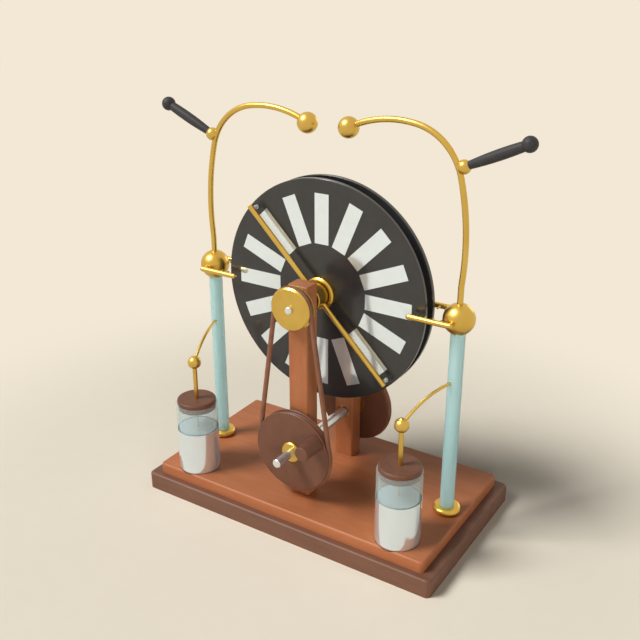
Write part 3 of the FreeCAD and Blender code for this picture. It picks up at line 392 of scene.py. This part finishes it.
def tinsel_strands(end):
    """The loose strands of the two tufts of one neutraliser."""
    chance = random.Random(STRAND_SEED)
    spots = [corner.co for corner in nodes[f"{end}_neutraliser_brushes"].data.vertices]
    tip_y, root_y = sorted((min(spot.y for spot in spots), max(spot.y for spot in spots)), key=abs)
    corners = []
    faces = []
    for hand in (-1, 1):
        tuft = [spot for spot in spots if spot.x * hand > 0]
        centre = (
            (min(spot.x for spot in tuft) + max(spot.x for spot in tuft)) / 2,
            (min(spot.z for spot in tuft) + max(spot.z for spot in tuft)) / 2,
        )
        for number in range(STRANDS):
            angle = math.tau * (number + chance.uniform(-UNEVEN_SPACING, UNEVEN_SPACING)) / STRANDS
            end_y = tip_y + (root_y - tip_y) * chance.uniform(0.0, MOST_CUT_OFF)
            splay = chance.uniform(LEAST_SPLAY, 1.0)
            tinsel_strand(corners, faces, centre, root_y, end_y, angle, splay)
    mesh = bpy.data.meshes.new(f"{end}_tinsel")
    mesh.from_pydata(corners, [], faces)
    mesh.materials.append(tinsel)
    piece = bpy.data.objects.new(f"{end}_tinsel", mesh)
    bpy.context.collection.objects.link(piece)
    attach(piece, f"{end}_neutraliser")


tinsel_strands("front")
tinsel_strands("rear")

# Drive wheels, crank grip and jar lids: turned from a dark hardwood, a shade deeper than the
# plinth, and varnished. The wheels are fixed on the shaft, and the grip turns on its pin under
# a small plug.
turned_wood = varnished_wood(
    "turned_wood", grain=(5, 5, 2.4),
    dark=srgb(96, 59, 42), middle=srgb(107, 68, 50), light=srgb(118, 76, 57),
)
finish(
    turned_wood, "front_drive_wheel", "rear_drive_wheel", "crank_grip", "grip_plug", "jar_lids",
)

# Belts: endless round leather cords in the grooves of the drive wheels and the discs' pulleys.
# The rear one is crossed, so that its disc turns the other way.
hide, tree, shader, place = new_material("belt_leather", roughness=0.62)
patches = noise(tree, place, scale=60, detail=3, roughness=0.5)
tint(tree, shader, patches, srgb(116, 74, 54), srgb(140, 92, 68))
pores = noise(tree, place, scale=900, detail=4, roughness=0.6)
bump(tree, shader, pores, strength=0.3, distance=0.0003)
finish(hide, "front_belt", "rear_belt")

# Pillars: solid rods of pale blue-green glass, drawn, a little cloudy and fire polished. Each
# stands in a brass foot and carries a terminal ball.
pale_glass, tree, shader, place = new_material("pale_glass", roughness=0.12)
streaks = noise(tree, stretched(tree, place, (30, 30, 1.5)), scale=6, detail=2, roughness=0.5)
tint(tree, shader, streaks, srgb(184, 226, 228), srgb(202, 238, 241))
shader.inputs["Transmission Weight"].default_value = 0.45
shader.inputs["IOR"].default_value = 1.45
finish(pale_glass, "left_pillar", "right_pillar")

# Leyden jars: blown glass, slightly milky, with bright foil outside and inside up to about
# three fifths of its height; the inner foil is closed at the top like a drum. The glass is
# clear where it is seen straight on, milkier at its edges, and opaque over the foil.
EDGE_FALL_OFF = 3
EDGE_MILK = 0.3
LEAST_MILK = 0.22
LIGHT_THROUGH_MILK = 0.4
jar_glass, tree, shader, place = new_material("jar_glass", roughness=0.05)
clouds = noise(tree, place, scale=30, detail=3, roughness=0.5)
milk_colour = tint(tree, shader, clouds, srgb(222, 234, 234), srgb(230, 240, 240))
shader.inputs["IOR"].default_value = 1.45
clear = tree.nodes.new("ShaderNodeBsdfTransparent")
clear.inputs["Color"].default_value = srgb(250, 253, 253)
lit_through = tree.nodes.new("ShaderNodeBsdfTranslucent")
tree.links.new(milk_colour, lit_through.inputs["Color"])
milk = mixed(tree, LIGHT_THROUGH_MILK, shader.outputs[0], lit_through.outputs[0])
edge = tree.nodes.new("ShaderNodeLayerWeight")
edge.inputs["Blend"].default_value = 0.5
slant = maths(tree, "POWER", edge.outputs["Facing"], EDGE_FALL_OFF)
veil = maths(tree, "MULTIPLY_ADD", slant, EDGE_MILK, LEAST_MILK)
height = tree.nodes.new("ShaderNodeSeparateXYZ")
tree.links.new(place, height.inputs[0])
foiled = maths(tree, "LESS_THAN", height.outputs["Z"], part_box("jar_foils")[1][2])
cover = maths(tree, "MAXIMUM", veil, foiled)
surface = mixed(tree, cover, clear.outputs[0], milk)
tree.links.new(surface, tree.nodes["Material Output"].inputs["Surface"])
finish(jar_glass, "left_jar_glass", "right_jar_glass")

tin, tree, shader, place = new_material("jar_tin", metallic=0.75)
crinkle = noise(tree, stretched(tree, place, (1, 1, 0.4)), scale=70, detail=4, roughness=0.5)
tint(tree, shader, crinkle, srgb(226, 237, 243), srgb(234, 243, 249))
roughen(tree, shader, crinkle, smoothest=0.1, roughest=0.2)
finish(tin, "jar_foils")
dull_tin, tree, shader, place = new_material("lining_tin", roughness=0.45, metallic=0.3)
cloud = noise(tree, place, scale=60, detail=3, roughness=0.5)
tint(tree, shader, cloud, srgb(220, 236, 242), srgb(228, 242, 247))
finish(dull_tin, "jar_linings")

# Handles: black insulating rods with a ball end, turned in one piece and rubbed to a dull
# shine. Each sits on a small brass ball against the outside of its electrode's bend.
ebonite, tree, shader, place = new_material("black_handle")
bloom = noise(tree, place, scale=140, detail=3, roughness=0.5)
tint(tree, shader, bloom, srgb(46, 45, 47), srgb(54, 53, 55))
roughen(tree, shader, bloom, smoothest=0.5, roughest=0.62)
shader.inputs["Specular IOR Level"].default_value = 0.35
finish(ebonite, "left_handle", "right_handle")
